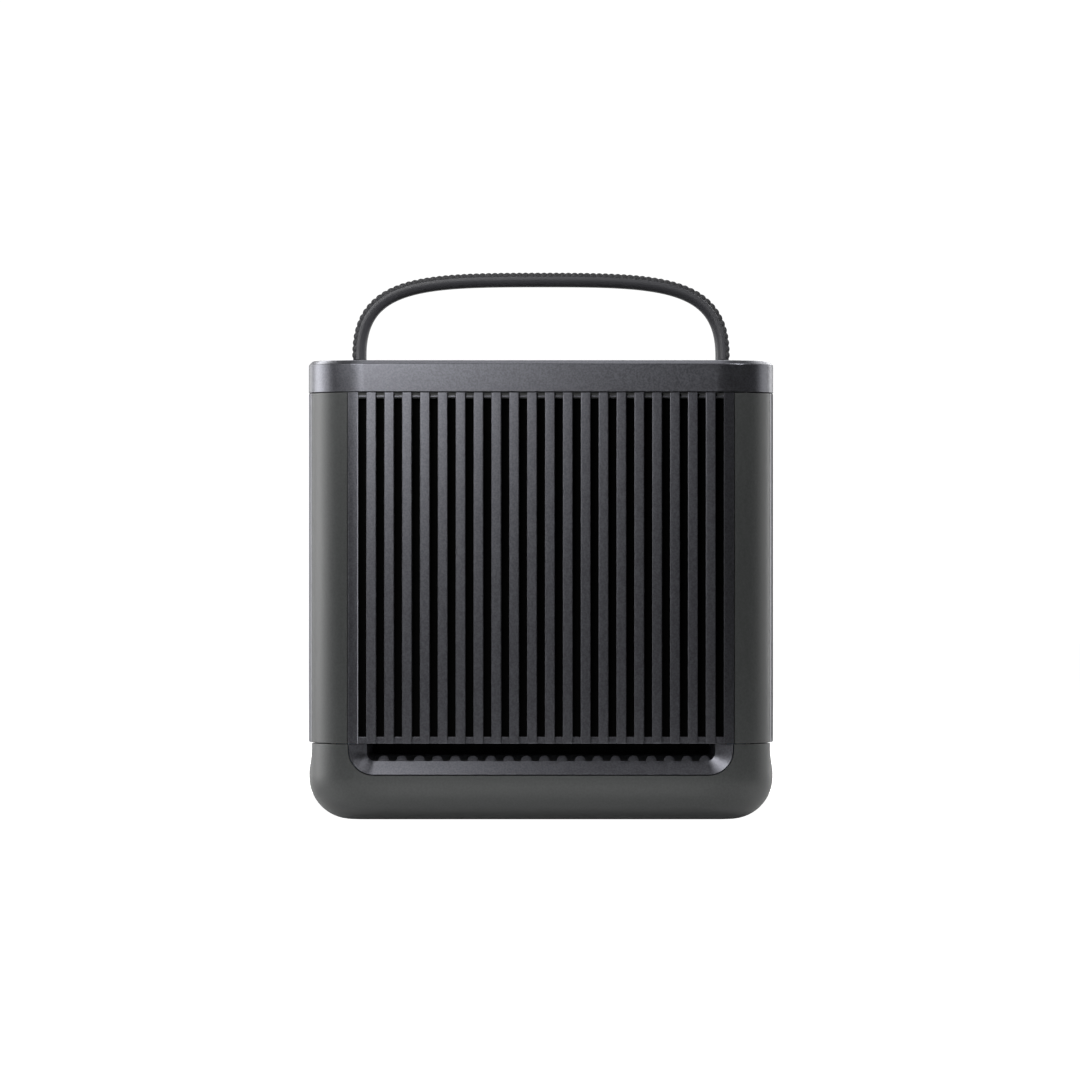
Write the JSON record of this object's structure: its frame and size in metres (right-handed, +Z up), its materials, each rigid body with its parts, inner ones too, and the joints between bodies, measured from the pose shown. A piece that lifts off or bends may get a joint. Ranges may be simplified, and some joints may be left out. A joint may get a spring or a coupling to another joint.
{
  "type": "portable power station",
  "caption": "Rounded upright battery case with finned metal sides, scooped air intakes, a folding bail handle and a socket panel on the back.",
  "frame": {"origin": "on the ground, under the middle of the case", "axes": "+Z up, -Y out of the plain finned front, +Y out of the control and socket panel, X along the handle"},
  "size_m": [0.238, 0.176, 0.2826],
  "materials": {
    "shell_plastic": "olive-grey moulded plastic with a fine matt texture",
    "satin_metal": "satin graphite-coloured metal",
    "black_plastic": "black moulded plastic",
    "socket_plastic": "smooth black socket plastic",
    "rubber": "dark matt rubber",
    "steel": "plated steel",
    "aluminium": "bare extruded aluminium",
    "display_glass": "dark polished window",
    "button_plastic": "smooth grey key plastic",
    "cell_case": "blue film over a metal can",
    "circuit_board": "green coated circuit board"
  },
  "bodies": {
    "case": {"base_shell": "shell_plastic", "mid_frame": "shell_plastic", "top_cap": "satin_metal", "top_deck": "black_plastic", "front_grille": "satin_metal", "left_grille": "satin_metal", "right_grille": "satin_metal", "rear_panel": "black_plastic", "foot_front_left": "rubber", "base_screw_front_left": "steel", "foot_front_right": "rubber", "base_screw_front_right": "steel", "foot_rear_left": "rubber", "base_screw_rear_left": "steel", "foot_rear_right": "rubber", "base_screw_rear_right": "steel", "handle_bracket_left": "steel", "handle_pin_left": "steel", "bracket_screw_left_outer": "steel", "bracket_screw_left_inner": "steel", "handle_bracket_right": "steel", "handle_pin_right": "steel", "bracket_screw_right_outer": "steel", "bracket_screw_right_inner": "steel", "dust_screen_front": "black_plastic", "dust_screen_left": "black_plastic", "fan_frame_left": "black_plastic", "dust_screen_right": "black_plastic", "fan_frame_right": "black_plastic", "display_window": "display_glass", "display_module": "black_plastic", "ac_outlet_upper": "socket_plastic", "ac_outlet_lower": "socket_plastic", "port_block": "socket_plastic", "car_socket": "socket_plastic", "charge_inlet": "socket_plastic", "battery_tray": "black_plastic", "battery_cell_1": "cell_case", "battery_cell_2": "cell_case", "battery_cell_3": "cell_case", "battery_cell_4": "cell_case", "battery_cell_5": "cell_case", "battery_cell_6": "cell_case", "battery_cell_7": "cell_case", "battery_cell_8": "cell_case", "cell_retainer": "black_plastic", "bms_board": "circuit_board", "inner_shelf": "steel", "inverter_board": "circuit_board", "heat_sink": "aluminium", "control_board": "circuit_board"},
    "handle": {"handle_arch": "black_plastic", "handle_grip_pad": "rubber"},
    "fan_left": {"fan_rotor_left": "black_plastic"},
    "fan_right": {"fan_rotor_right": "black_plastic"},
    "power_key": {"power_button": "button_plastic"},
    "dc_key": {"dc_button": "button_plastic"},
    "ac_key": {"ac_button": "button_plastic"},
    "car_flap": {"car_socket_cover": "rubber"},
    "inlet_flap": {"charge_inlet_cover": "rubber"}
  },
  "joints": [
    {"name": "handle_hinge", "type": "hinge", "parent": "case", "child": "handle", "pos_m": [0, 0, 0.2312], "axis": [1, 0, 0], "range_deg": [-88, 88]},
    {"name": "fan_left_spin", "type": "hinge", "parent": "case", "child": "fan_left", "pos_m": [-0.104, 0, 0.164], "axis": [1, 0, 0], "continuous": true},
    {"name": "fan_right_spin", "type": "hinge", "parent": "case", "child": "fan_right", "pos_m": [0.104, 0, 0.164], "axis": [1, 0, 0], "continuous": true},
    {"name": "power_button_press", "type": "slide", "parent": "case", "child": "power_key", "axis": [0, -1, 0], "range_m": [0, 0.0012], "stiffness_N_per_m": 600, "springref_m": -0.0005},
    {"name": "dc_button_press", "type": "slide", "parent": "case", "child": "dc_key", "axis": [0, -1, 0], "range_m": [0, 0.0012], "stiffness_N_per_m": 600, "springref_m": -0.0005},
    {"name": "ac_button_press", "type": "slide", "parent": "case", "child": "ac_key", "axis": [0, -1, 0], "range_m": [0, 0.0012], "stiffness_N_per_m": 600, "springref_m": -0.0005},
    {"name": "car_cover_hinge", "type": "hinge", "parent": "case", "child": "car_flap", "pos_m": [0.066, 0.0863, 0.153], "axis": [1, 0, 0], "range_deg": [0, 140]},
    {"name": "inlet_cover_hinge", "type": "hinge", "parent": "case", "child": "inlet_flap", "pos_m": [0.066, 0.0863, 0.1024], "axis": [1, 0, 0], "range_deg": [0, 140]}
  ]
}
